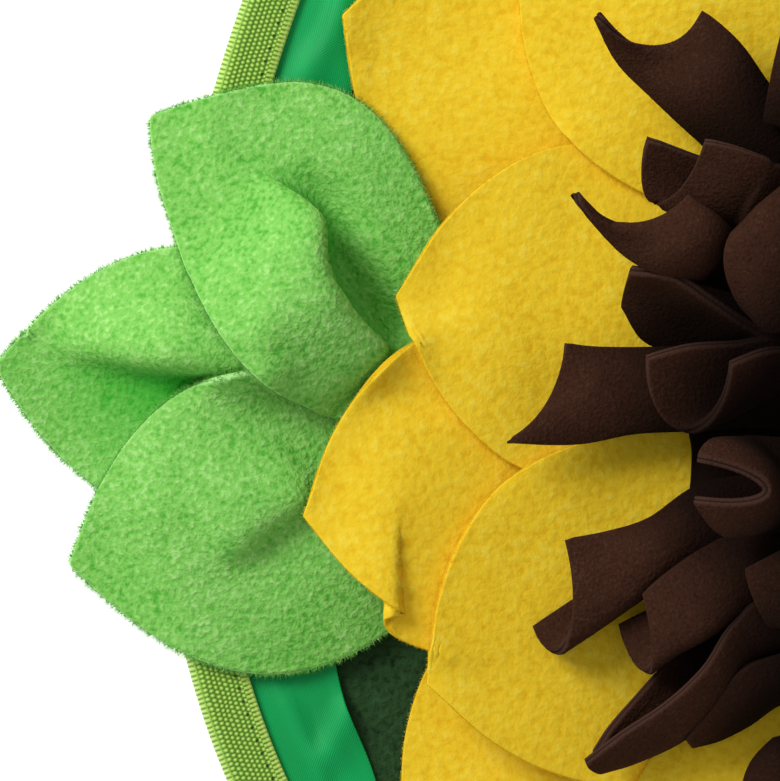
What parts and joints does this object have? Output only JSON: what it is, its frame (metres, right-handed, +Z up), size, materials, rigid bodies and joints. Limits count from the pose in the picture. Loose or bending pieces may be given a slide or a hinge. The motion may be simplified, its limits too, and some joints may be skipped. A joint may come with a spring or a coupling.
{
  "type": "snuffle mat",
  "caption": "Round fleece snuffle mat made as a sunflower: bound disc, satin border, two rows of yellow petals, green leaves on one side and a tuft of brown strips in the middle.",
  "frame": {"origin": "middle of the flat underside, where the mat rests on the floor, under the centre of the flower", "axes": "+Z up out of the mat, -X towards the leaves, +Y to the side of the upper leaf"},
  "size_m": [0.4847, 0.4506, 0.0526],
  "materials": {
    "base_fleece": "dark green short-pile fleece",
    "collar_satin": "bright green polyester satin, slightly shiny",
    "binding_webbing": "lime green woven webbing",
    "petal_fleece": "yellow polar fleece",
    "leaf_fleece": "light green polar fleece",
    "strip_fleece": "dark brown polar fleece"
  },
  "bodies": {
    "root": {"base": "base_fleece", "collar": "collar_satin", "binding": "binding_webbing", "outer_petal_01": "petal_fleece", "outer_petal_02": "petal_fleece", "outer_petal_03": "petal_fleece", "outer_petal_04": "petal_fleece", "outer_petal_05": "petal_fleece", "outer_petal_06": "petal_fleece", "outer_petal_07": "petal_fleece", "outer_petal_08": "petal_fleece", "outer_petal_09": "petal_fleece", "outer_petal_10": "petal_fleece", "outer_petal_11": "petal_fleece", "outer_petal_12": "petal_fleece", "outer_petal_13": "petal_fleece", "outer_petal_14": "petal_fleece", "inner_petal_01": "petal_fleece", "inner_petal_02": "petal_fleece", "inner_petal_03": "petal_fleece", "inner_petal_04": "petal_fleece", "inner_petal_05": "petal_fleece", "inner_petal_06": "petal_fleece", "inner_petal_07": "petal_fleece", "inner_petal_08": "petal_fleece", "inner_petal_09": "petal_fleece", "inner_petal_10": "petal_fleece", "inner_petal_11": "petal_fleece", "inner_petal_12": "petal_fleece", "inner_petal_13": "petal_fleece", "inner_petal_14": "petal_fleece", "leaf_upper": "leaf_fleece", "leaf_middle": "leaf_fleece", "leaf_lower": "leaf_fleece", "strip_01": "strip_fleece", "strip_02": "strip_fleece", "strip_03": "strip_fleece", "strip_04": "strip_fleece", "strip_05": "strip_fleece", "strip_06": "strip_fleece", "strip_07": "strip_fleece", "strip_08": "strip_fleece", "strip_09": "strip_fleece", "strip_10": "strip_fleece", "strip_11": "strip_fleece", "strip_12": "strip_fleece", "strip_13": "strip_fleece", "strip_14": "strip_fleece", "strip_15": "strip_fleece", "strip_16": "strip_fleece", "strip_17": "strip_fleece", "strip_18": "strip_fleece", "strip_19": "strip_fleece", "strip_20": "strip_fleece", "strip_21": "strip_fleece", "strip_22": "strip_fleece", "strip_23": "strip_fleece", "strip_24": "strip_fleece", "strip_25": "strip_fleece", "strip_26": "strip_fleece"}
  },
  "joints": []
}
